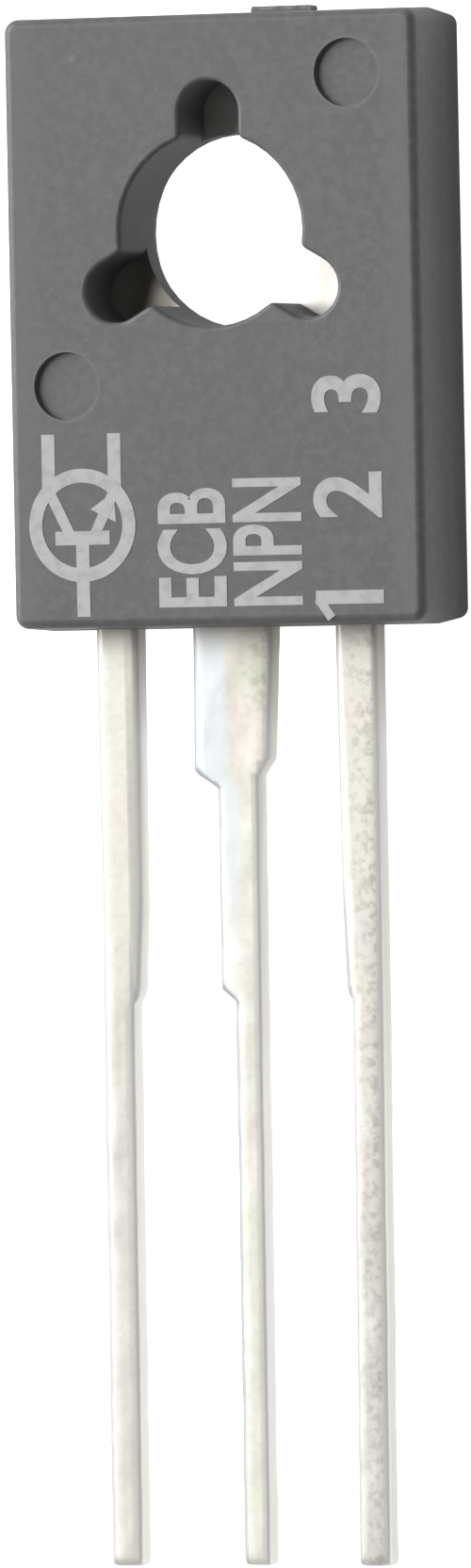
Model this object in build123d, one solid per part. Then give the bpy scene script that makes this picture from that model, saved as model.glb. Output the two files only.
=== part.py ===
from build123d import *
from math import radians, tan
import os

# Flat plastic power transistor with three leads, lying on its heatsink face.
# Origin: the axis of the mounting hole, on the heatsink face.
# +X across the body, +Y towards its hole end, +Z out of the marked face.  Millimetres.

# Moulded body
body_width = 7.6          # across the parting line
body_height = 10.64       # along the leads, at the parting line
body_thickness = 2.55
body_corner = 0.28        # plan radius of the four upright edges
front_draft = 2.0         # degrees, from the parting line to the marked face
rear_draft = 4.5          # degrees, from the parting line to the heatsink face
front_edge_radius = 0.16
rear_edge_break = 0.06

# Mounting hole and the three notches left by the pins that held the tab in the mould
hole_diameter = 3.34
hole_from_top = 3.77      # hole axis to the end of the body
hole_rim_radius = 0.08
flare_diameter = 3.86     # mouth of the hole on the heatsink face, where the mould's pin widens
flare_depth = 0.8
notch_angles = (90, 210, 330)
notch_width = 1.08
notch_reach = 2.58        # hole axis to the far end of a notch
notch_corner = 0.14       # where a notch runs into the hole

# Ejector pin marks on the marked face: distances in from the long side and from the hole end
ejector_diameter = 1.18
ejector_depth = 0.06
ejector_right_inset = 1.25
ejector_right_drop = 1.13
ejector_left_inset = 1.1
ejector_left_drop = 6.41

# Gate vestige on the hole end, on the parting line
gate_width = 1.1
gate_thickness = 0.34
gate_proud = 0.09
gate_offset = 1.0

# Leads
lead_pitch = 2.2
lead_length = 16.24       # outside the body
lead_thickness = 0.5
lead_seat = 1.15          # back of the leads above the heatsink face; the parting line too
lead_width = 0.76
lead_edge_break = 0.05
tip_width = 0.58          # beyond the trimmed dam bar
middle_tip_width = 0.5
dam_bar_distance = 6.25   # body to the dam bar's trimmed step
dam_bar_ramp = 0.22
shoulder_left = 0.82      # wide root of the middle lead, out from its centre line
shoulder_right = 0.68
shoulder_right_end = 0.57
shoulder_left_length = 2.48
shoulder_right_length = 2.28
shoulder_taper = 0.3

# Tab
tab_width = 5.8
tab_thickness = 1.25
tab_top_cover = 0.75      # plastic between the tab and the hole end of the body
tab_bottom_cover = 2.24   # and between the tab and the lead end, where the bonding posts are
tab_corner = 0.35
hole_lining = 0.07        # least plastic between the flare of the mounting hole and the tab
lock_step = 0.28          # the exposed pad is this much smaller, round its rim and round the hole
lock_height = 0.4
joggle_length = 0.55      # neck that climbs from the tab to the lead plane

# Bonding posts of the outer leads
post_width = 1.55
post_height = 0.85
post_gap = 0.32           # post to tab, along the leads
post_corner = 0.12

# Chip and wires
die_size = 1.9
die_thickness = 0.24
die_from_tab_end = 0.3
solder_thickness = 0.05
solder_margin = 0.08
wire_diameter = 0.25
wire_foot = 0.42
wire_sink = 0.05          # how far a bonded foot is squashed flat
loop_height = 0.44        # wire axis above the post, at its highest
loop_peak = 0.46          # how far along the wire that is
wire_bend_radius = 0.26
emitter_pad = (-0.42, 0.2)   # bond spots on the chip, from its centre
base_pad = (0.52, -0.42)

# Worked out from the sizes above
body_top = hole_from_top
body_bottom = body_top - body_height
tab_top = body_top - tab_top_cover
tab_bottom = body_bottom + tab_bottom_cover
tab_height = tab_top - tab_bottom
post_top = tab_bottom - post_gap
lead_tip = body_bottom - lead_length
flare_slope = (flare_diameter - hole_diameter) / 2 / flare_depth
flare_radius_at_lock = flare_diameter / 2 - flare_slope * lock_height
tab_hole_radius = flare_radius_at_lock + hole_lining
pad_hole_radius = tab_hole_radius + lock_step
lead_front = lead_seat + lead_thickness
die_centre_y = tab_bottom + die_from_tab_end + die_size / 2
die_base = tab_thickness + solder_thickness
die_top = die_base + die_thickness
wire_radius = wire_diameter / 2


def body_outline(height, draft):
    """Rounded plan outline of the body, this far from the parting plane."""
    inset = abs(height - lead_seat) * tan(radians(draft))
    outline = RectangleRounded(
        body_width - 2 * inset, body_height - 2 * inset, max(body_corner - inset, body_corner / 2)
    )
    return Pos(0, (body_top + body_bottom) / 2, height) * outline


def hole_outline():
    """The hole with its three round-ended notches, in plan."""
    end_radius = notch_width / 2
    outline = Circle(hole_diameter / 2)
    for angle in notch_angles:
        arm = notch_reach - end_radius
        slot = Pos(arm / 2, 0) * Rectangle(arm, notch_width)
        slot += Pos(arm, 0) * Circle(end_radius)
        outline += Rot(0, 0, angle) * slot
    inner = [v for v in outline.vertices() if v.center().length < (hole_diameter + notch_width / 2) / 2]
    return fillet(inner, notch_corner)


def body_blank():
    """Both drafted halves, with rounded edges and the gate vestige."""
    parting = body_outline(lead_seat, 0)
    front = loft([parting, body_outline(body_thickness, front_draft)], ruled=True)
    rear = loft([body_outline(0, rear_draft), parting], ruled=True)
    front = fillet(front.faces().sort_by(Axis.Z)[-1].edges(), front_edge_radius)
    rear = chamfer(rear.faces().sort_by(Axis.Z)[0].edges(), rear_edge_break)
    root = 3 * gate_proud
    gate = Box(gate_width, root + gate_proud, gate_thickness)
    gate = fillet(gate.edges().filter_by(Axis.Z), gate_proud / 2)
    gate = Pos(gate_offset, body_top + gate_proud - (root + gate_proud) / 2, lead_seat + gate_thickness / 2) * gate
    return front + rear + gate


def mounting_hole():
    """Bore through the body, its flared mouth at the back, and the notches down to the tab."""
    bore = Pos(0, 0, body_thickness / 2) * Cylinder(hole_diameter / 2, 2 * body_thickness)
    flare = Pos(0, 0, flare_depth / 2) * Cone(flare_diameter / 2, hole_diameter / 2, flare_depth)
    notches = extrude(Pos(0, 0, tab_thickness) * hole_outline(), body_thickness)
    return bore + flare + notches


def ejector_marks():
    right = (body_width / 2 - ejector_right_inset, body_top - ejector_right_drop)
    left = (ejector_left_inset - body_width / 2, body_top - ejector_left_drop)
    mark = Cylinder(ejector_diameter / 2, 2 * ejector_depth)
    return [Pos(x, y, body_thickness) * mark for x, y in (right, left)]


def break_rims(plate, size):
    """Breaks the sharp rims of a flat stamping, front and back."""
    front = plate.faces().sort_by(Axis.Z)[-1].edges()
    back = plate.faces().sort_by(Axis.Z)[0].edges()
    return chamfer(front + back, size)


def outer_lead():
    """The left outer lead and its bonding post.  The trimmed step faces the middle lead."""
    outer = -lead_pitch - lead_width / 2
    inner = outer + lead_width
    tip_inner = outer + tip_width
    root = post_top - post_height / 2
    step = body_bottom - dam_bar_distance
    strip = Polygon(
        (outer, root),
        (outer, lead_tip),
        (tip_inner, lead_tip),
        (tip_inner, step - dam_bar_ramp),
        (inner, step),
        (inner, root),
        align=None,
    )
    post = Pos(-lead_pitch, root) * RectangleRounded(post_width, post_height, post_corner)
    plate = extrude(Pos(0, 0, lead_seat) * (strip + post), lead_thickness)
    return break_rims(plate, lead_edge_break)


def middle_lead():
    """The collector lead: a neck that climbs from the tab, then a wide shoulder, taper and trimmed strip."""
    root = lead_width / 2
    tip_left = root - middle_tip_width
    flat_start = tab_bottom - joggle_length
    left_end = body_bottom - shoulder_left_length
    right_end = body_bottom - shoulder_right_length
    step = body_bottom - dam_bar_distance
    plan = Polygon(
        (shoulder_right, flat_start),
        (-shoulder_left, flat_start),
        (-shoulder_left, left_end),
        (-root, left_end - shoulder_taper),
        (-root, step),
        (tip_left, step - dam_bar_ramp),
        (tip_left, lead_tip),
        (root, lead_tip),
        (root, right_end - shoulder_taper),
        (shoulder_right_end, right_end),
        (shoulder_right, body_bottom),
        align=None,
    )
    strip = extrude(Pos(0, 0, lead_seat) * plan, lead_thickness)
    rim = strip.faces().sort_by(Axis.Z)[-1].edges() + strip.faces().sort_by(Axis.Z)[0].edges()
    strip = chamfer([e for e in rim if e.center().Y < flat_start - lead_edge_break], lead_edge_break)
    inside_tab = tab_bottom + tab_corner
    tab_side = tab_thickness - lead_thickness
    climb = Polygon(
        (inside_tab, tab_side),
        (inside_tab, tab_thickness),
        (tab_bottom, tab_thickness),
        (flat_start, lead_front),
        (flat_start, lead_seat),
        (tab_bottom, tab_side),
        align=None,
    )
    neck = Pos(-shoulder_left, 0, 0) * extrude(Plane.YZ * climb, shoulder_left + shoulder_right)
    return strip + neck


def tab_plate():
    """Heat-spreading tab: full outline at the front, a smaller exposed pad at the back, and its stepped hole."""
    centre = Pos(0, (tab_top + tab_bottom) / 2, 0)
    wide = centre * RectangleRounded(tab_width, tab_height, tab_corner)
    pad = centre * RectangleRounded(tab_width - 2 * lock_step, tab_height - 2 * lock_step, tab_corner)
    wide -= Circle(tab_hole_radius)
    pad -= Circle(pad_hole_radius)
    return extrude(pad, lock_height) + extrude(Pos(0, 0, lock_height) * wide, tab_thickness - lock_height)


def collector():
    return tab_plate() + middle_lead()


def chip_block(size, base, thickness):
    return Pos(0, die_centre_y, base + thickness / 2) * Box(size, size, thickness)


def bond_wire(side, pad):
    """Wire from a post to a spot on the chip: flat foot, loop, flat foot, in one upright plane."""
    start = Vector(side * (lead_pitch - post_width / 6), post_top - post_height / 2, 0)
    end = Vector(pad[0], die_centre_y + pad[1], 0)
    along = (end - start).normalized()
    span = (end - start).length
    low = wire_radius - wire_sink
    stations = (
        (-wire_foot / 2, lead_front + low),
        (wire_foot / 2, lead_front + low),
        (span * loop_peak, lead_front + loop_height),
        (span - wire_foot / 2, die_top + low),
        (span + wire_foot / 2, die_top + low),
    )
    points = [start + along * s + Vector(0, 0, z) for s, z in stations]
    path = FilletPolyline(*points, radius=wire_bend_radius)
    wire = sweep(Plane(origin=points[0], z_dir=along) * Circle(wire_radius), path=path)
    for spot, level in ((start, lead_front), (end, die_top)):
        under = Box(2 * wire_foot, 2 * wire_foot, wire_diameter, align=(Align.CENTER, Align.CENTER, Align.MAX))
        wire -= Pos(spot.X, spot.Y, level) * under
    return wire


def package_body(inserts):
    """The moulding, with a cavity round everything it is moulded over."""
    body = body_blank() - mounting_hole()
    marked_face = body.edges().filter_by_position(Axis.Z, body_thickness, body_thickness)
    rim = [e for e in marked_face if Vector(e.center().X, e.center().Y).length < notch_reach]
    body = fillet(rim, hole_rim_radius)
    for mark in ejector_marks():
        body -= mark
    for insert in inserts:
        body -= insert
    return body


os.makedirs("parts", exist_ok=True)
pieces = {
    "collector_frame": collector(),
    "emitter_lead": outer_lead(),
    "base_lead": mirror(outer_lead(), about=Plane.YZ),
    "die_solder": chip_block(die_size + 2 * solder_margin, tab_thickness, solder_thickness),
    "silicon_die": chip_block(die_size, die_base, die_thickness),
    "emitter_bond_wire": bond_wire(-1, emitter_pad),
    "base_bond_wire": bond_wire(1, base_pad),
}
pieces["package_body"] = package_body(list(pieces.values()))
for name, piece in pieces.items():
    export_step(piece, f"parts/{name}.step")
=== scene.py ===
import math

import bmesh
import bpy
from mathutils import Matrix, Vector, noise


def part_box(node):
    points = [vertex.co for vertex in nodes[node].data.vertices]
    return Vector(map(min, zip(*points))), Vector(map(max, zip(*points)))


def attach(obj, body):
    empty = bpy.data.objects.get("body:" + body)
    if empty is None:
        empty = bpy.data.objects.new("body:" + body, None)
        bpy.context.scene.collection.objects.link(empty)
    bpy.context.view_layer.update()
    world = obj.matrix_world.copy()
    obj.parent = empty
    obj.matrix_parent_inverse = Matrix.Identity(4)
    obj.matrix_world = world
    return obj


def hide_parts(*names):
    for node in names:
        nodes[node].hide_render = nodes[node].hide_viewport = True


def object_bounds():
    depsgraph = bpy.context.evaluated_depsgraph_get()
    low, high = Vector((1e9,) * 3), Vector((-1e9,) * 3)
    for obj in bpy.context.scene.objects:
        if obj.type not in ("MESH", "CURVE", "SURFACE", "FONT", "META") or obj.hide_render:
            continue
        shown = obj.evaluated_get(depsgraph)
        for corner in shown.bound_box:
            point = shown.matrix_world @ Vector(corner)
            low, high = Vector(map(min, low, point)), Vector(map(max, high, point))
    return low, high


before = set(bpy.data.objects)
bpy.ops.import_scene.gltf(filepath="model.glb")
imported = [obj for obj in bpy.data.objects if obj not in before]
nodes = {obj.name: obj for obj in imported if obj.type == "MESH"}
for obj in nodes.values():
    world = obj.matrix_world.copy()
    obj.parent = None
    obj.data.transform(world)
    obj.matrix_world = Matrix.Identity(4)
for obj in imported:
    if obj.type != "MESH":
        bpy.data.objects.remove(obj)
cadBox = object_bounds()
bodyLow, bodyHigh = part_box("package_body")
objectMiddle = (cadBox[0] + cadBox[1]) / 2
mm = 0.001
tiny = 1e-8     # metres, for merging and cutting
scene = bpy.context.scene
print("frame loaded:", ", ".join(sorted(nodes)))


# The camera looks down on the marked face from a little to the right, so the long side shows.
cameraSettings = {
    "sideways": 20.04,                  # degrees off straight down, towards +X
    "endways": 0.48,                    # and towards the hole end
    "roll": 1.13,
    "distance": 300.0,                  # millimetres
    "lens": 397.7,
    "aim": (-0.183, 0.048, 0.025),      # millimetres off the middle of the object
}


def placeCamera(settings):
    data = bpy.data.cameras.new("bench_camera")
    data.lens = settings["lens"]
    data.clip_start, data.clip_end = 0.01, 3.0
    camera = bpy.data.objects.new("bench_camera", data)
    scene.collection.objects.link(camera)
    side, end, roll = (math.radians(settings[k]) for k in ("sideways", "endways", "roll"))
    back = Vector((math.sin(side) * math.cos(end), math.sin(end), math.cos(side) * math.cos(end)))
    level = Vector((math.cos(side), 0, -math.sin(side)))
    upright = back.cross(level)
    across = level * math.cos(roll) - upright * math.sin(roll)
    upward = level * math.sin(roll) + upright * math.cos(roll)
    middle = objectMiddle + Vector(settings["aim"]) * mm
    turn = Matrix((across, upward, back)).transposed().to_4x4()
    camera.matrix_world = Matrix.Translation(middle + back * settings["distance"] * mm) @ turn
    scene.camera = camera


placeCamera(cameraSettings)
scene.view_settings.view_transform = "Standard"


# Small helpers for node trees.
def addNode(tree, kind, spot, values=None, **options):
    node = tree.nodes.new("ShaderNode" + kind)
    node.location = (spot[0] * 200, spot[1] * 170)
    for name, value in options.items():
        setattr(node, name, value)
    for name, value in (values or {}).items():
        node.inputs[name].default_value = value
    return node


def newMaterial(name, values=None):
    material = bpy.data.materials.new(name)
    material.use_nodes = True
    tree = material.node_tree
    shader = tree.nodes["Principled BSDF"]
    for socket, value in (values or {}).items():
        shader.inputs[socket].default_value = value
    coords = addNode(tree, "TexCoord", (-9, 0))
    return material, tree, shader, coords.outputs["Object"]


def newGroup(name, inputs, outputs):
    tree = bpy.data.node_groups.new(name, "ShaderNodeTree")
    for label, kind, value in inputs:
        socket = tree.interface.new_socket(label, in_out="INPUT", socket_type="NodeSocket" + kind)
        if value is not None:
            socket.default_value = value
    for label, kind in outputs:
        tree.interface.new_socket(label, in_out="OUTPUT", socket_type="NodeSocket" + kind)
    return tree, tree.nodes.new("NodeGroupInput"), tree.nodes.new("NodeGroupOutput")


def placeGroup(tree, group, spot, vector, values=None):     # hands on the group's one output
    node = tree.nodes.new("ShaderNodeGroup")
    node.node_tree = group
    node.location = (spot[0] * 200, spot[1] * 170)
    if vector is not None:
        tree.links.new(vector, node.inputs["Vector"])
    for name, value in (values or {}).items():
        node.inputs[name].default_value = value
    return node.outputs[0]


def joinSockets(tree, node, pairs):
    for name, given in pairs:
        if isinstance(given, bpy.types.NodeSocket):
            tree.links.new(given, node.inputs[name])
        else:
            node.inputs[name].default_value = given


def mixColour(tree, spot, mask, first, second):
    node = addNode(tree, "Mix", spot, data_type="RGBA")
    joinSockets(tree, node, (("Factor", mask), (6, first), (7, second)))
    return node.outputs[2]


def multiply(tree, spot, first, second):
    node = addNode(tree, "Math", spot, operation="MULTIPLY")
    joinSockets(tree, node, ((0, first), (1, second)))
    return node.outputs[0]


def lay(tree, spot, base, colour, mask, strength=1.0):      # a colour over another where the mask shows
    if strength != 1.0:
        mask = multiply(tree, (spot[0], spot[1] - 1), mask, strength)
    return mixColour(tree, spot, mask, base, colour)


def mapRange(tree, spot, value, low, high, toLow, toHigh):
    node = addNode(tree, "MapRange", spot,
                   {"From Min": low, "From Max": high, "To Min": toLow, "To Max": toHigh})
    tree.links.new(value, node.inputs["Value"])
    return node.outputs["Result"]


def remap(tree, spot, mask, ends):
    return mapRange(tree, spot, mask, 0, 1, *ends)


def fade(tree, spot, value, span, unit=mm):     # a span is two places and the mask's value at each
    return mapRange(tree, spot, value, span[0] * unit, span[1] * unit, span[2], span[3])


def splitVector(tree, spot, vector):
    node = addNode(tree, "SeparateXYZ", spot)
    tree.links.new(vector, node.inputs["Vector"])
    return node.outputs["X"], node.outputs["Y"], node.outputs["Z"]


def absolute(tree, spot, value):
    node = addNode(tree, "Math", spot, operation="ABSOLUTE")
    tree.links.new(value, node.inputs[0])
    return node.outputs[0]


def stretchPattern(tree, spot, place, scale, turn=0.0):     # a pattern read through this runs long
    node = addNode(tree, "Mapping", spot, {"Rotation": (0, 0, turn), "Scale": scale})
    tree.links.new(place, node.inputs["Vector"])
    return node.outputs["Vector"]


def closeMaterial(material, shader, base, rough, grain):    # every finish ends with these three
    links = material.node_tree.links
    links.new(base, shader.inputs["Base Color"])
    links.new(rough, shader.inputs["Roughness"])
    links.new(grain, shader.inputs["Normal"])
    return material


def grey(value, warm=0.0):
    return (value * (1 + warm), value, value * (1 - warm), 1)


# Shared effects.
def buildPatches():     # a soft cloudy mask
    tree, given, made = newGroup("softPatches", [
        ("Vector", "Vector", None), ("Scale", "Float", 500.0), ("Detail", "Float", 3.0),
        ("Low", "Float", 0.35), ("High", "Float", 0.65)], [("Mask", "Float")])
    cloud = addNode(tree, "TexNoise", (2, 0))
    cut = addNode(tree, "MapRange", (4, 0), interpolation_type="SMOOTHSTEP")
    for name in ("Vector", "Scale", "Detail"):
        tree.links.new(given.outputs[name], cloud.inputs[name])
    tree.links.new(cloud.outputs["Fac"], cut.inputs["Value"])
    tree.links.new(given.outputs["Low"], cut.inputs["From Min"])
    tree.links.new(given.outputs["High"], cut.inputs["From Max"])
    tree.links.new(cut.outputs["Result"], made.inputs["Mask"])
    return tree


def buildGrain():       # fine spark-eroded or dipped surface
    tree, given, made = newGroup("fineGrain", [
        ("Vector", "Vector", None), ("Scale", "Float", 9000.0), ("Strength", "Float", 0.3),
        ("Distance", "Float", 0.00001)], [("Normal", "Vector")])
    coarse = addNode(tree, "TexNoise", (2, 0), {"Detail": 4.0, "Roughness": 0.65})
    bump = addNode(tree, "Bump", (4, 0))
    for name in ("Vector", "Scale"):
        tree.links.new(given.outputs[name], coarse.inputs[name])
    tree.links.new(coarse.outputs["Fac"], bump.inputs["Height"])
    tree.links.new(given.outputs["Strength"], bump.inputs["Strength"])
    tree.links.new(given.outputs["Distance"], bump.inputs["Distance"])
    tree.links.new(bump.outputs["Normal"], made.inputs["Normal"])
    return tree


def buildScuffs():      # sparse hairlines along the direction in which the vector was stretched
    tree, given, made = newGroup("hairScuffs", [
        ("Vector", "Vector", None), ("Scale", "Float", 900.0), ("Sparse", "Float", 0.7)],
        [("Mask", "Float")])
    lines = addNode(tree, "TexNoise", (2, 0), {"Detail": 2.0})
    cut = addNode(tree, "MapRange", (4, 0), {"From Max": 0.86})
    for name in ("Vector", "Scale"):
        tree.links.new(given.outputs[name], lines.inputs[name])
    tree.links.new(lines.outputs["Fac"], cut.inputs["Value"])
    tree.links.new(given.outputs["Sparse"], cut.inputs["From Min"])
    tree.links.new(cut.outputs["Result"], made.inputs["Mask"])
    return tree


def buildEdges():       # rounded edges, where a rounded normal leaves the true one: a mask for wear and a painted highlight
    tree, given, made = newGroup("wornLitEdges", [
        ("Radius", "Float", 0.00012), ("Low", "Float", 0.02), ("High", "Float", 0.25)],
        [("Mask", "Float")])
    rounded = addNode(tree, "Bevel", (2, 1), samples=4)
    true = addNode(tree, "NewGeometry", (2, -1))
    both = addNode(tree, "VectorMath", (4, 0), operation="DOT_PRODUCT")
    away = addNode(tree, "Math", (6, 0), {0: 1.0}, operation="SUBTRACT")
    cut = addNode(tree, "MapRange", (8, 0), interpolation_type="SMOOTHSTEP")
    tree.links.new(given.outputs["Radius"], rounded.inputs["Radius"])
    tree.links.new(rounded.outputs["Normal"], both.inputs[0])
    tree.links.new(true.outputs["Normal"], both.inputs[1])
    tree.links.new(both.outputs["Value"], away.inputs[1])
    tree.links.new(away.outputs[0], cut.inputs["Value"])
    tree.links.new(given.outputs["Low"], cut.inputs["From Min"])
    tree.links.new(given.outputs["High"], cut.inputs["From Max"])
    tree.links.new(cut.outputs["Result"], made.inputs["Mask"])
    return tree


softPatches = buildPatches()
fineGrain = buildGrain()
hairScuffs = buildScuffs()
wornLitEdges = buildEdges()
print("shared effects ready")


# Finishes. Places in them are in millimetres: x across, y along the leads, z up.
epoxySettings = {
    "colour": grey(0.104),
    "paler": grey(0.122, 0.01),
    "darker": grey(0.096, -0.01),
    "scuffed": grey(0.15),
    # lighter rounded edges: partly wear, partly a painted highlight
    "edge": grey(0.18, 0.02),
    "rear": grey(0.054),        # painted shade: the sides are painted darker towards the back, near the floor
    # painted light: the bore wall lighter, as if lit from below, with a slight purple tint
    "bore": (0.146, 0.143, 0.153, 1),
    # painted highlight in a strip just inside both long edges
    "edgeHighlight": (0.126, 0.128, 0.122, 1),
    "torn": grey(0.2, 0.02),
    "fleck": grey(0.17),
    "speckling": 0.9,           # how strongly each of these shows
    "scuffing": 0.5,
    "edgeWearAndHighlight": 0.8,
    "flecking": 0.8,
    "roughness": (0.46, 0.54),
    "rearRoughness": 0.3,       # on top of that
    "clouds": {"Scale": 500.0, "Low": 0.3, "High": 0.7},
    "specks": {"Scale": 6500.0, "Low": 0.35, "High": 0.7},
    "hairs": {"Scale": 2600.0, "Sparse": 0.7},
    "hairStretch": (1, 0.12, 1),
    "hairTurn": 0.5,
    "grain": {"Scale": 14000.0, "Strength": 0.3, "Distance": 0.000008},
    "rearShadeHeight": (0.5, 2.1, 0.85, 0),         # up
    "outsideBore": (1.75, 1.9, 0, 1),       # from the hole's axis
    "insideBore": (1.75, 1.9, 1, 0),
    "belowMouth": (2.3, 2.5, 1, 0),         # up
    "edgeHighlightFrom": (3.1, 3.45, 0, 0.5),     # to both sides of the middle
    "edgeHighlightTo": (3.58, 3.64, 1, 0),
    "gateDepth": (0.08, 0.05),              # back from its end
    "flecks": ((-2.47, 3.02, 0.10), (2.6, 3.2, 0.06)),      # place and radius
    "shader": {"IOR": 1.5, "Specular IOR Level": 0.45},
}


def makeEpoxy(settings):
    material, tree, shader, place = newMaterial("moulded_epoxy", settings["shader"])
    across, along, height = splitVector(tree, (-5, -3), place)
    clouds = placeGroup(tree, softPatches, (-6, 3), place, settings["clouds"])
    specks = placeGroup(tree, softPatches, (-6, 2), place, settings["specks"])
    hairs = stretchPattern(tree, (-7, 0), place, settings["hairStretch"], settings["hairTurn"])
    scuffs = placeGroup(tree, hairScuffs, (-6, 0), hairs, settings["hairs"])
    edges = placeGroup(tree, wornLitEdges, (-6, -1), None)
    base = mixColour(tree, (-5, 3), clouds, settings["darker"], settings["colour"])
    base = lay(tree, (-4, 3), base, settings["paler"], specks, settings["speckling"])
    base = lay(tree, (-3, 3), base, settings["scuffed"], scuffs, settings["scuffing"])
    # rounded edges painted lighter: partly wear, partly a painted highlight
    base = lay(tree, (-2, 3), base, settings["edge"], edges, settings["edgeWearAndHighlight"])
    for x, y, radius in settings["flecks"]:
        away = addNode(tree, "VectorMath", (-5, -2), operation="DISTANCE")
        joinSockets(tree, away, ((0, place), (1, (x * mm, y * mm, bodyHigh.z))))
        spot = fade(tree, (-4, -2), away.outputs["Value"], (0, radius, settings["flecking"], 0))
        base = lay(tree, (-1.5, 3), base, settings["fleck"], spot)
    level = addNode(tree, "VectorMath", (-6, -5), operation="MULTIPLY")
    joinSockets(tree, level, ((0, place), (1, (1, 1, 0))))
    reach = addNode(tree, "VectorMath", (-5, -5), operation="LENGTH")
    tree.links.new(level.outputs[0], reach.inputs[0])
    fromAxis = reach.outputs["Value"]
    # painted shade: the sides darker and rougher towards the back, outside the bore
    rear = multiply(tree, (-3, -4), fade(tree, (-4, -5), fromAxis, settings["outsideBore"]),
                    fade(tree, (-4, -4), height, settings["rearShadeHeight"]))
    base = lay(tree, (-1.2, 3), base, settings["rear"], rear)
    # painted light: the bore wall below its mouth painted lighter
    bore = multiply(tree, (-3, -5), fade(tree, (-4, -6), fromAxis, settings["insideBore"]),
                    fade(tree, (-4, -7), height, settings["belowMouth"]))
    base = lay(tree, (-1.1, 3), base, settings["bore"], bore)
    # painted highlight: a lighter strip just inside both long edges
    sideways = absolute(tree, (-5, -8), across)
    edgeHighlight = multiply(tree, (-3, -8), fade(tree, (-4, -8), sideways, settings["edgeHighlightFrom"]),
                       fade(tree, (-4, -9), sideways, settings["edgeHighlightTo"]))
    base = lay(tree, (-1.05, 3), base, settings["edgeHighlight"], edgeHighlight)
    start, end = (bodyHigh.y - depth * mm for depth in settings["gateDepth"])
    torn = multiply(tree, (-3, -3), mapRange(tree, (-4, -3), along, start, end, 0, 1), specks)
    base = lay(tree, (-1, 3), base, settings["torn"], torn)
    rough = addNode(tree, "Math", (-1, 0), operation="MULTIPLY_ADD")
    joinSockets(tree, rough, ((0, rear), (1, settings["rearRoughness"]),
                              (2, remap(tree, (-2, 0), clouds, settings["roughness"]))))
    grain = placeGroup(tree, fineGrain, (-4, -4), place, settings["grain"])
    return closeMaterial(material, shader, base, rough.outputs[0], grain)


tinSettings = {
    "bright": (0.81, 0.80, 0.72, 1),
    "dull": (0.74, 0.73, 0.64, 1),
    "pink": (0.79, 0.74, 0.67, 1),
    "green": (0.71, 0.73, 0.61, 1),
    "aged": (0.67, 0.65, 0.60, 1),
    "cool": (0.74, 0.79, 0.82, 1),
    "leftShade": (0.39, 0.40, 0.42, 1),       # painted shade on left-facing faces
    # painted light on right-facing faces
    "rightLight": (0.97, 0.96, 0.91, 1),
    # oxide, also used as painted shade near the body
    "oxideAndShade": (0.42, 0.39, 0.34, 1),
    "olive": (0.36, 0.37, 0.27, 1),
    "roughness": (0.41, 0.35),
    "metal": (0.2, 0.95),                   # where the cut sides are dull, and where they shine
    "clouds": {"Scale": 900.0, "Low": 0.35, "High": 0.65},
    "blush": {"Scale": 420.0, "Detail": 1.0, "Low": 0.5, "High": 0.68},
    "tinge": {"Scale": 610.0, "Detail": 1.0, "Low": 0.52, "High": 0.7},
    "specks": {"Scale": 7500.0, "Low": 0.42, "High": 0.68},
    "grain": {"Scale": 2400.0, "Strength": 0.25, "Distance": 0.00002},
    "middleLead": (1.1, 1.4, 1, 0),         # to both sides
    "outerLeads": (1.1, 1.4, 0, 1),
    "outerLeftShade": (1, 0.75),              # the outer leads' left-facing faces get less painted shade
    "speckledSide": (1.9, 2.5, 0.15, 0.8),  # across
    "coolFrom": (-1.2, -1.0, 0, 1),         # across
    "coolTo": (-0.3, -0.12, 0.85, 0),
    "coolShift": (-9.4, -9.7, 0, 0.0002),   # along: that much further across, in metres
    "coolRoot": (-15.0, -10.0, 0, 1),       # along
    "oliveSide": (0.05, 0.6, 0, 1),         # across
    "oliveRoot": (-9.2, -7.7, 0, 1),        # along
    "oliveSpecks": (0.45, 1),
    "ageing": (-8.0, -17.0, 0.1, 0.8),      # along
    "rightRootShade": (-8.8, -7.1, 0, 0.6),          # along: painted shade on the right-facing sides near the body
    "rootDirtAndShade": (0.5, 0.6),                 # how far from the body, and how dark: residue and painted shade near the body
    "cutBand": (1.5, 1.36, 0, 1),           # up: the cut sides turn smooth and bright
    "cutStart": (-7.2, -9.5, 0, 1),         # along
    "tipward": (-9.0, -15.0, 0, 1),         # along: from the top edge down at the tips
    "leftward": (-0.04, -0.3, 0, 0.95),     # by how far a face looks sideways
    "rightward": (0.05, 0.4, 0, 1),
    "upright": (0.6, 0.9, 0, 1),
}


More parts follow.
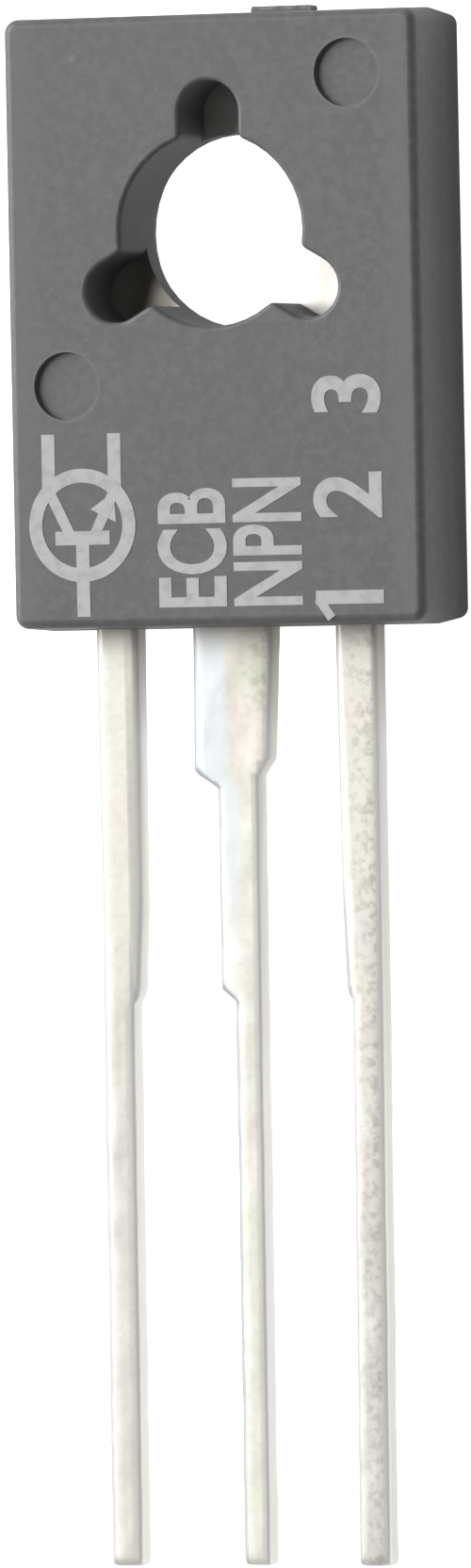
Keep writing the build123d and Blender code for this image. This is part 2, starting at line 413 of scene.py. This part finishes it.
def makeTin(settings):
    material, tree, shader, place = newMaterial("dipped_tin")
    across, along, height = splitVector(tree, (-8, -2), place)
    sideways = splitVector(tree, (-7, -9), addNode(tree, "TexCoord", (-8, -9)).outputs["Normal"])[0]
    clouds = placeGroup(tree, softPatches, (-7, 3), place, settings["clouds"])
    blush = placeGroup(tree, softPatches, (-7, 2), place, settings["blush"])
    tinge = placeGroup(tree, softPatches, (-7, 1), place, settings["tinge"])
    specks = placeGroup(tree, softPatches, (-7, 0), place, settings["specks"])
    base = mixColour(tree, (-5, 3), clouds, settings["dull"], settings["bright"])
    base = lay(tree, (-4.5, 3), base, settings["pink"], blush)
    base = lay(tree, (-4, 3), base, settings["green"], tinge)
    apart = absolute(tree, (-7, -4), across)
    outer = fade(tree, (-6, -4), apart, settings["outerLeads"])
    aged = multiply(tree, (-5, -4), outer, fade(tree, (-6, -5), along, settings["ageing"]))
    base = lay(tree, (-3, 3), base, settings["aged"], aged)
    dirt = multiply(tree, (-5, 0), specks, fade(tree, (-6, -6), across, settings["speckledSide"]))
    base = lay(tree, (-2.7, 3), base, settings["oxideAndShade"], dirt)
    moved = addNode(tree, "Math", (-7, -3), operation="SUBTRACT")
    joinSockets(tree, moved, ((0, across), (1, fade(tree, (-8, -3), along, settings["coolShift"]))))
    cool = multiply(tree, (-5, -2), fade(tree, (-6, -2), across, settings["coolFrom"]),
                    fade(tree, (-6, -3), moved.outputs[0], settings["coolTo"]))
    cool = multiply(tree, (-4, -2), cool, fade(tree, (-5, -3), along, settings["coolRoot"]))
    base = lay(tree, (-2.6, 3), base, settings["cool"], cool)
    olive = multiply(tree, (-5, -13), fade(tree, (-6, -13), apart, settings["middleLead"]),
                     fade(tree, (-6, -14), across, settings["oliveSide"]))
    olive = multiply(tree, (-4, -13), olive, fade(tree, (-6, -15), along, settings["oliveRoot"]))
    olive = multiply(tree, (-3, -13), olive, remap(tree, (-6, -18), specks, settings["oliveSpecks"]))
    base = lay(tree, (-2.4, 3), base, settings["olive"], olive)
    leftward = fade(tree, (-6, -8), sideways, settings["leftward"], 1)
    rightward = fade(tree, (-6, -9), sideways, settings["rightward"], 1)
    upright = fade(tree, (-6, -10), sideways, settings["upright"], 1)
    # painted shade on left-facing faces
    leftShade = multiply(tree, (-4, -8), leftward, remap(tree, (-6, -19), outer, settings["outerLeftShade"]))
    base = lay(tree, (-2.3, 3), base, settings["leftShade"], leftShade)
    # painted light on right-facing faces
    base = lay(tree, (-2.2, 3), base, settings["rightLight"], rightward)
    # painted shade on the right-facing sides near the body
    rightRootShade = multiply(tree, (-4, -14), rightward, fade(tree, (-6, -17), along, settings["rightRootShade"]))
    base = lay(tree, (-2.1, 3), base, settings["oxideAndShade"], rightRootShade)
    # darker near the body: residue and painted shade
    grimeShadeReach, grimeShadeDark = settings["rootDirtAndShade"]
    root = mapRange(tree, (-6, -7), along, bodyLow.y - grimeShadeReach * mm, bodyLow.y, 0, grimeShadeDark)
    base = lay(tree, (-2, 3), base, settings["oxideAndShade"], root)
    band = multiply(tree, (-5, -10), fade(tree, (-6, -11), height, settings["cutBand"]),
                    fade(tree, (-6, -16), along, settings["cutStart"]))
    smooth = addNode(tree, "Math", (-5, -11), operation="MAXIMUM")
    joinSockets(tree, smooth, ((0, band), (1, fade(tree, (-6, -12), along, settings["tipward"]))))
    shine = multiply(tree, (-4, -9), upright, smooth.outputs[0])
    tree.links.new(remap(tree, (-2, -1), shine, settings["metal"]), shader.inputs["Metallic"])
    rough = remap(tree, (-2, 0), clouds, settings["roughness"])
    grain = placeGroup(tree, fineGrain, (-4, -2), place, settings["grain"])
    return closeMaterial(material, shader, base, rough, grain)


tabSettings = {
    "clean": (0.78, 0.77, 0.74, 1),
    "tarnish": (0.64, 0.62, 0.57, 1),
    # painted shade on the notch floors left of the hole
    "notchShade": (0.15, 0.13, 0.10, 1),
    "plating": (0.70, 0.69, 0.66, 1),
    "brushed": (0.48, 0.47, 0.45, 1),
    "roughness": (0.46, 0.38),
    "metal": (0.8, 1.0),                    # tarnished, and plated
    "clouds": {"Scale": 1500.0},
    "hairs": {"Scale": 5000.0, "Sparse": 0.5},
    "brushStretch": (1, 0.06, 1),
    "grain": {"Scale": 5000.0, "Strength": 0.08},
    "plated": (0.36, 0.44, 1, 0),           # up: the heatsink side's finish
    "notchShadeFrom": (-0.7, -1.25, 0, 0.8),       # across: painted shade on the notch floors left of the hole
    "notchShadeEase": (-1.75, -2.1, 1, 0.5),        # and less so from here on
}


def makeTab(settings):
    material, tree, shader, place = newMaterial("tab_metal")
    across, along, height = splitVector(tree, (-6, -1), place)
    clouds = placeGroup(tree, softPatches, (-6, 2), place, settings["clouds"])
    brushing = stretchPattern(tree, (-7, 0), place, settings["brushStretch"])
    lines = placeGroup(tree, hairScuffs, (-6, 0), brushing, settings["hairs"])
    # painted shade on the tab left of the hole, where the notch floors lie in shade
    notchShade = multiply(tree, (-4, -2), fade(tree, (-5, -2), across, settings["notchShadeFrom"]),
                     fade(tree, (-5, -3), across, settings["notchShadeEase"]))
    bare = mixColour(tree, (-4, 2), clouds, settings["tarnish"], settings["clean"])
    bare = lay(tree, (-3, 2), bare, settings["notchShade"], notchShade)
    plate = mixColour(tree, (-4, 0), lines, settings["plating"], settings["brushed"])
    plated = fade(tree, (-5, -1), height, settings["plated"])
    base = mixColour(tree, (-2, 2), plated, bare, plate)
    tree.links.new(remap(tree, (-2, 1), plated, settings["metal"]), shader.inputs["Metallic"])
    rough = remap(tree, (-2, 0), clouds, settings["roughness"])
    grain = placeGroup(tree, fineGrain, (-4, -2), brushing, settings["grain"])
    return closeMaterial(material, shader, base, rough, grain)


inkSettings = {
    "fresh": grey(0.45),
    "thin": grey(0.33),
    "thinning": 0.5,
    "roughness": (0.55, 0.7),
    "patches": {"Scale": 5200.0, "Low": 0.42, "High": 0.68},
    "grain": {"Scale": 14000.0},
    "shader": {"Specular IOR Level": 0.3},
}


def makeInk(settings):
    material, tree, shader, place = newMaterial("marking_ink", settings["shader"])
    patches = placeGroup(tree, softPatches, (-6, 2), place, settings["patches"])
    base = lay(tree, (-3, 2), settings["fresh"], settings["thin"], patches, settings["thinning"])
    rough = remap(tree, (-2, 0), patches, settings["roughness"])
    grain = placeGroup(tree, fineGrain, (-4, -2), place, settings["grain"])
    return closeMaterial(material, shader, base, rough, grain)


sealedSettings = {          # what the moulding hides
    "die_solder": {
        "name": "soft_solder", "tones": ((0.42, 0.43, 0.46, 1), (0.56, 0.56, 0.58, 1)),
        "patches": 1800, "grain": 14400, "metal": 0.9, "roughness": (0.53, 0.37)},
    "silicon_die": {
        "name": "silicon", "tones": ((0.05, 0.055, 0.07, 1), (0.10, 0.10, 0.13, 1)),
        "patches": 1200, "grain": 9600, "metal": 0.3, "roughness": (0.28, 0.12)},
    "emitter_bond_wire": {
        "name": "bond_wire", "tones": ((0.72, 0.73, 0.75, 1), (0.80, 0.81, 0.83, 1)),
        "patches": 2500, "grain": 20000, "metal": 1.0, "roughness": (0.38, 0.22)},
}


def makeSealed(settings):
    material, tree, shader, place = newMaterial(settings["name"], {"Metallic": settings["metal"]})
    clouds = placeGroup(tree, softPatches, (-6, 2), place, {"Scale": settings["patches"]})
    base = mixColour(tree, (-3, 2), clouds, *settings["tones"])
    rough = remap(tree, (-3, 0), clouds, settings["roughness"])
    grain = placeGroup(tree, fineGrain, (-3, -2), place, {"Scale": settings["grain"]})
    return closeMaterial(material, shader, base, rough, grain)


epoxy = makeEpoxy(epoxySettings)
tin = makeTin(tinSettings)
tabMetal = makeTab(tabSettings)
ink = makeInk(inkSettings)
sealed = {node: makeSealed(settings) for node, settings in sealedSettings.items()}
sealed["base_bond_wire"] = sealed["emitter_bond_wire"]
for name, finish in sealed.items():
    nodes[name].data.materials.clear()
    nodes[name].data.materials.append(finish)
print("finishes ready")


# Pieces.
def mergedCopy(node):
    mesh = bmesh.new()
    mesh.from_mesh(nodes[node].data)
    bmesh.ops.remove_doubles(mesh, verts=mesh.verts, dist=0.0005 * mm)
    return mesh


creaseAngle = 32        # degrees, from which an edge stays sharp


def finishPiece(name, mesh, finishes, standsFor=(), sharpFrom=creaseAngle):
    mesh.normal_update()
    for face in mesh.faces:
        face.smooth = True
    for edge in mesh.edges:
        edge.smooth = edge.calc_face_angle(0) < math.radians(sharpFrom)
    data = bpy.data.meshes.new(name)
    mesh.to_mesh(data)
    mesh.free()
    for finish in finishes:
        data.materials.append(finish)
    piece = bpy.data.objects.new(name, data)
    scene.collection.objects.link(piece)
    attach(piece, "root")
    if standsFor:
        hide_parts(*standsFor)
    return piece


bodySettings = {            # millimetres
    "markDepth": 0.07,      # this holds both rims of an ejector mark
    "rimAngle": 1.0,        # radians, from which an edge belongs to such a rim
    "markSunk": 0.05,       # how much further its floor is pressed in
    "rimRound": 0.06,
    "steepen": 0.048,       # how much further out the marked face's right edge stands
    "steepFrom": 1.15,      # from this height on
    "steepAside": 3.45,     # and outside of this
    "tabTop": 1.25,         # the front of the tab, where its hole is lined
    "tabHole": 1.87,        # radius
    "sameLevel": 0.01,
    "flatLeast": 1.2,       # square millimetres from which a level patch is shaded flat
    "flatAngle": 0.005,     # radians
}


def findFlats(mesh, least, angle):
    flats, waiting = set(), set(mesh.faces)
    while waiting:
        patch = [waiting.pop()]
        for face in patch:
            for edge in face.edges:
                if edge.calc_face_angle(1) < angle:
                    level = [other for other in edge.link_faces if other in waiting]
                    waiting.difference_update(level)
                    patch.extend(level)
        if sum(face.calc_area() for face in patch) > least:
            flats.update(patch)
    return flats


def shadeFlats(mesh, flats):        # level patches stay level right up to a rounded edge
    normals = []
    for face in mesh.faces:
        for corner in face.loops:
            near = [other for other in corner.vert.link_faces
                    if other.normal.angle(face.normal, 0) < math.radians(creaseAngle)]
            ruling = [face] if face in flats else [other for other in near if other in flats] or near
            blend = sum((other.normal * other.calc_area() for other in ruling), Vector())
            normals.append(blend.normalized())
    return normals


def steepenSide(mesh, settings):    # the right side stands almost upright in front of the parting line
    foot = settings["steepFrom"] * mm
    for vert in mesh.verts:
        if vert.co.x > settings["steepAside"] * mm and vert.co.z > foot:
            vert.co.x += settings["steepen"] * mm * (vert.co.z - foot) / (bodyHigh.z - foot)


def pressMarks(mesh, settings):
    depth = settings["markDepth"] * mm
    rims = [edge for edge in mesh.edges
            if edge.calc_face_angle(0) > settings["rimAngle"]
            and all(vert.co.z > bodyHigh.z - depth for vert in edge.verts)
            and abs(edge.verts[0].co.z - edge.verts[1].co.z) < 100 * tiny]
    floor = {vert for edge in rims for vert in edge.verts if vert.co.z < bodyHigh.z - depth / 2}
    for vert in floor:
        vert.co.z -= settings["markSunk"] * mm
    bmesh.ops.bevel(mesh, geom=rims, affect="EDGES", offset=settings["rimRound"] * mm, offset_type="OFFSET",
                    segments=2, profile=0.5, material=-1, clamp_overlap=True)


def bareMetal(mesh, settings):      # the notches lay the metal bare as far as the hole
    for face in mesh.faces:
        middle = face.calc_center_median()
        level = all(abs(vert.co.z / mm - settings["tabTop"]) < settings["sameLevel"] for vert in face.verts)
        if level and Vector((middle.x, middle.y)).length < settings["tabHole"] * mm:
            face.material_index = 1


def buildBody(settings):
    mesh = mergedCopy("package_body")
    steepenSide(mesh, settings)
    pressMarks(mesh, settings)
    bareMetal(mesh, settings)
    mesh.normal_update()
    flats = findFlats(mesh, settings["flatLeast"] * mm * mm, settings["flatAngle"])
    normals = shadeFlats(mesh, flats)
    body = finishPiece("moulded_body", mesh, [epoxy, tabMetal], ["package_body"])
    body.data.normals_split_custom_set(normals)


buildBody(bodySettings)
print("body moulded")


leadSettings = {            # millimetres
    "seal": 0.25,           # inside the body, where the dipped part starts
    "mergeAngle": 0.5,      # degrees, below which the solid's facets are joined first
    "pitch": 0.12,          # spacing of the cuts
    "lump": 0.012,          # how far the dipped tin wanders
    "lumpLength": 0.9,
    "ripple": 0.006,
    "rippleLength": 0.3,
    "noiseStep": 11.0,      # from one lead to the next
    "soften": 2,            # rounds
    "softenBy": 0.5,
    "lean": (-0.05, -0.07, -0.07),      # how far each lead's tip is bent aside
    "sharpFrom": 60,        # degrees
}
dippedEnd = bodyLow.y + leadSettings["seal"] * mm


def cutEvenly(mesh, low, high, axis, pitch):
    count = max(1, round((high - low) / pitch))
    normal = Vector([1.0 if i == axis else 0.0 for i in range(3)])
    for step in range(1, count):
        faces = [face for face in mesh.faces if face.calc_center_median().y < dippedEnd]
        edges = list({edge for face in faces for edge in face.edges})
        verts = list({vert for face in faces for vert in face.verts})
        bmesh.ops.bisect_plane(mesh, geom=faces + edges + verts, dist=tiny,
                               plane_co=normal * (low + (high - low) * step / count), plane_no=normal)


def tinLead(node, name, number, inside, settings):
    mesh = mergedCopy(node)
    bmesh.ops.dissolve_limit(mesh, angle_limit=math.radians(settings["mergeAngle"]),
                             verts=mesh.verts, edges=mesh.edges)
    bmesh.ops.bisect_plane(mesh, geom=mesh.verts[:] + mesh.edges[:] + mesh.faces[:], dist=tiny,
                           plane_co=(0, dippedEnd, 0), plane_no=(0, 1, 0))
    outside = dippedEnd - 100 * tiny
    dipped = [vert.co for vert in mesh.verts if vert.co.y < outside]
    low = Vector([min(place[i] for place in dipped) for i in range(3)])
    high = Vector([max(place[i] for place in dipped) for i in range(3)])
    for axis in (0, 2, 1):
        cutEvenly(mesh, low[axis], high[axis], axis, settings["pitch"] * mm)
    moved = [vert for vert in mesh.verts if vert.co.y < outside]
    for turn in range(settings["soften"]):
        bmesh.ops.smooth_vert(mesh, verts=moved, factor=settings["softenBy"],
                              use_axis_x=True, use_axis_y=True, use_axis_z=True)
    mesh.normal_update()
    lean = settings["lean"][number - 1] * mm
    for vert in moved:
        here = vert.co / mm + Vector((number * settings["noiseStep"], 0, 0))
        lump = noise.noise(here / settings["lumpLength"]) * settings["lump"]
        ripple = noise.noise(here / settings["rippleLength"]) * settings["ripple"]
        vert.co += vert.normal * (lump + ripple) * mm
        vert.co.x += lean * (high.y - vert.co.y) / (high.y - low.y)
    for face in mesh.faces:
        face.material_index = 0 if face.calc_center_median().y < dippedEnd else 1
    finishPiece(name, mesh, [tin, inside], [node], settings["sharpFrom"])


tinLead("emitter_lead", "tinned_emitter_lead", 1, tin, leadSettings)
tinLead("collector_frame", "tinned_collector_frame", 2, tabMetal, leadSettings)
tinLead("base_lead", "tinned_base_lead", 3, tin, leadSettings)
print("leads dipped")


# The marking: a plain transistor symbol, the order of its pins, its kind and its pin numbers.
markSettings = {            # millimetres
    "thickness": 0.008,
    "letterHeight": 1.22,
    "bolder": 0.022,
    "lines": (              # text, place and length
        ("ECB", 0.15, -6.5, 2.05),
        ("NPN", 1.54, -6.5, 2.2),
        ("1  2  3", 3.02, -6.5, 3.95)),
    "flagReach": 0.24,      # the typeface's 1 has no flag
    "flagRoot": 0.1,
    "flagDrop": 0.06,
    "flagStroke": 0.16,
    "symbolCentre": (-2.45, -5.05),
    "symbolRadius": 0.98,
    "stroke": 0.24,
    "stub": 0.6,
    "barPlace": 0.22,       # the base bar, short of the centre
    "barLength": 1.0,
    "spread": 0.4,          # of half the bar, where the slanted legs start
    "legStroke": 0.8,       # of the stroke
    "arrow": 0.3,
    "arrowPlace": 0.62,     # of the way from the base bar to the ring
    "sunk": 0.001,          # strokes that cross start this much apart in height, so no two faces meet
}


def thicken(mesh, height):
    bmesh.ops.remove_doubles(mesh, verts=mesh.verts, dist=tiny)
    raised = bmesh.ops.extrude_face_region(mesh, geom=mesh.faces[:])
    verts = [part for part in raised["geom"] if isinstance(part, bmesh.types.BMVert)]
    bmesh.ops.translate(mesh, vec=(0, 0, height), verts=verts)
    bmesh.ops.recalc_face_normals(mesh, faces=mesh.faces)


def layInk(mesh, place, settings, name):
    bmesh.ops.rotate(mesh, cent=(0, 0, 0), verts=mesh.verts,
                     matrix=Matrix.Rotation(math.radians(90), 3, "Z"))
    bmesh.ops.scale(mesh, vec=(mm, mm, mm), verts=mesh.verts)
    bmesh.ops.translate(mesh, vec=(place[0] * mm, place[1] * mm, bodyHigh.z), verts=mesh.verts)
    thicken(mesh, settings["thickness"] * mm)
    finishPiece(name, mesh, [ink])


def inkLine(text, x, y, length, settings, index):
    curve = bpy.data.curves.new("marking", "FONT")
    curve.body = text
    curve.offset = settings["bolder"]
    curve.resolution_u = 6
    letter = bpy.data.objects.new("marking", curve)
    scene.collection.objects.link(letter)
    bpy.context.view_layer.update()
    data = bpy.data.meshes.new_from_object(letter)
    bpy.data.objects.remove(letter)
    mesh = bmesh.new()
    mesh.from_mesh(data)
    left = min(vert.co.x for vert in mesh.verts)
    wide = max(vert.co.x for vert in mesh.verts) - left
    tall = max(vert.co.y for vert in mesh.verts)
    bmesh.ops.translate(mesh, vec=(-left, 0, 0), verts=mesh.verts)
    bmesh.ops.scale(mesh, vec=(length / wide, settings["letterHeight"] / tall, 1), verts=mesh.verts)
    if text[0] == "1":
        top, reach = settings["letterHeight"] - settings["flagDrop"], settings["flagReach"]
        inkBar(mesh, (-reach, top - reach), (settings["flagRoot"], top),
               settings["flagStroke"], settings["sunk"])
    layInk(mesh, (x, y), settings, f"ink_line_{index}")


def inkBar(mesh, start, end, width, sunk):
    run = Vector(end) - Vector(start)
    bar = bmesh.ops.create_grid(mesh, x_segments=1, y_segments=1, size=0.5)["verts"]
    bmesh.ops.scale(mesh, vec=(run.length, width, 1), verts=bar)
    turn = Matrix.Rotation(math.atan2(run.y, run.x), 3, "Z")
    bmesh.ops.rotate(mesh, cent=(0, 0, 0), matrix=turn, verts=bar)
    bmesh.ops.translate(mesh, vec=(*(Vector(start) + run / 2), -sunk), verts=bar)


def inkSymbol(settings):
    mesh = bmesh.new()
    radius, stroke = settings["symbolRadius"], settings["stroke"]
    outer = bmesh.ops.create_circle(mesh, segments=64, radius=radius)["verts"]
    inner = bmesh.ops.create_circle(mesh, segments=64, radius=radius - stroke)["verts"]
    rings = list({edge for vert in outer + inner for edge in vert.link_edges})
    bmesh.ops.bridge_loops(mesh, edges=rings)
    bar, half, sunk = -settings["barPlace"], settings["barLength"] / 2, settings["sunk"]
    inkBar(mesh, (bar, -half), (bar, half), stroke, 2 * sunk)
    inkBar(mesh, (-radius - settings["stub"], 0), (bar, 0), stroke, sunk)
    root, leg = half * settings["spread"], stroke * settings["legStroke"]
    corner = (radius - stroke / 2) / math.sqrt(2)
    for side in (-1, 1):
        inkBar(mesh, (bar, side * root), (corner, side * corner), leg, sunk)
        inkBar(mesh, (corner, side * corner), (radius + settings["stub"], side * corner), stroke, 3 * sunk)
    arrow = bmesh.ops.create_circle(mesh, cap_ends=True, segments=3, radius=settings["arrow"])["verts"]
    run = Vector((corner - bar, root - corner, 0))
    bmesh.ops.rotate(mesh, cent=(0, 0, 0), verts=arrow,
                     matrix=Matrix.Rotation(math.atan2(run.y, run.x) - math.radians(90), 3, "Z"))
    bmesh.ops.translate(mesh, verts=arrow,
                        vec=Vector((bar, -root, -4 * sunk)) + run * settings["arrowPlace"])
    layInk(mesh, settings["symbolCentre"], settings, "ink_symbol")


for index, (text, x, y, length) in enumerate(markSettings["lines"], 1):
    inkLine(text, x, y, length, markSettings, index)
inkSymbol(markSettings)
print("marking inked")


# Floor and lights.
stageSettings = {           # metres and watts
    "floorSize": 3.0,
    "floor": 0.5,
    "fibres": 0.02,         # how much darker its fibres are
    "fibreScale": 900.0,
    "lit": 0.46,            # the paper is lit from below as well, so it shines up at the sides
    "glow": 0.7,            # what the camera sees on top, so the paper stays white
    "walls": 0.48,          # the room's light near the horizon, and straight above
    "ceiling": 0.06,
    "cove": (0.4, 0.9),     # heights between which one turns into the other
    "backdrop": 0.85,       # what the camera sees of it
    "softboxPlace": (-0.38, 0.13, 0.295),
    "softboxSize": (0.34, 0.50),
    "softboxPower": 4.4,
}


def buildFloor(settings):
    mesh = bmesh.new()
    bmesh.ops.create_grid(mesh, x_segments=1, y_segments=1, size=settings["floorSize"] / 2)
    data = bpy.data.meshes.new("bench_top")
    mesh.to_mesh(data)
    mesh.free()
    floor = bpy.data.objects.new("bench_top", data)
    scene.collection.objects.link(floor)
    material, tree, shader, place = newMaterial(
        "bench_paper", {"Roughness": 0.9, "Specular IOR Level": 0.1})
    fibres = placeGroup(tree, softPatches, (-6, 2), place, {"Scale": settings["fibreScale"]})
    paper = mixColour(tree, (-3, 2), fibres, grey(settings["floor"]),
                      grey(settings["floor"] - settings["fibres"]))
    tree.links.new(paper, shader.inputs["Base Color"])
    shader.inputs["Emission Color"].default_value = (1, 1, 1, 1)
    seen = addNode(tree, "LightPath", (-5, -2))
    shine = remap(tree, (-3, -2), seen.outputs["Is Camera Ray"],
                  (settings["lit"], settings["lit"] + settings["glow"]))
    tree.links.new(shine, shader.inputs["Emission Strength"])
    data.materials.append(material)


def addLight(name, place, aim, size, power):
    data = bpy.data.lights.new(name, "AREA")
    data.shape = "RECTANGLE"
    data.size, data.size_y = size
    data.energy = power
    lamp = bpy.data.objects.new(name, data)
    scene.collection.objects.link(lamp)
    lamp.location = place
    lamp.rotation_mode = "QUATERNION"
    lamp.rotation_quaternion = (Vector(aim) - Vector(place)).to_track_quat("-Z", "Y")


def lightRoom(settings):
    world = bpy.data.worlds.new("studio")
    scene.world = world
    world.use_nodes = True
    tree = world.node_tree
    room = tree.nodes["Background"]
    room.inputs["Color"].default_value = (1, 1, 1, 1)
    looked = addNode(tree, "LightPath", (-4, 1))
    toward = addNode(tree, "TexCoord", (-6, 0))
    height = splitVector(tree, (-5, 0), toward.outputs["Generated"])[2]
    light = mapRange(tree, (-4, 0), height, *settings["cove"], settings["walls"], settings["ceiling"])
    seen = addNode(tree, "Mix", (-2, 0), {"B": settings["backdrop"]})
    joinSockets(tree, seen, (("Factor", looked.outputs["Is Camera Ray"]), ("A", light)))
    tree.links.new(seen.outputs["Result"], room.inputs["Strength"])


buildFloor(stageSettings)
lightRoom(stageSettings)
addLight("overhead_softbox", stageSettings["softboxPlace"], objectMiddle,
         stageSettings["softboxSize"], stageSettings["softboxPower"])
print("studio lit")
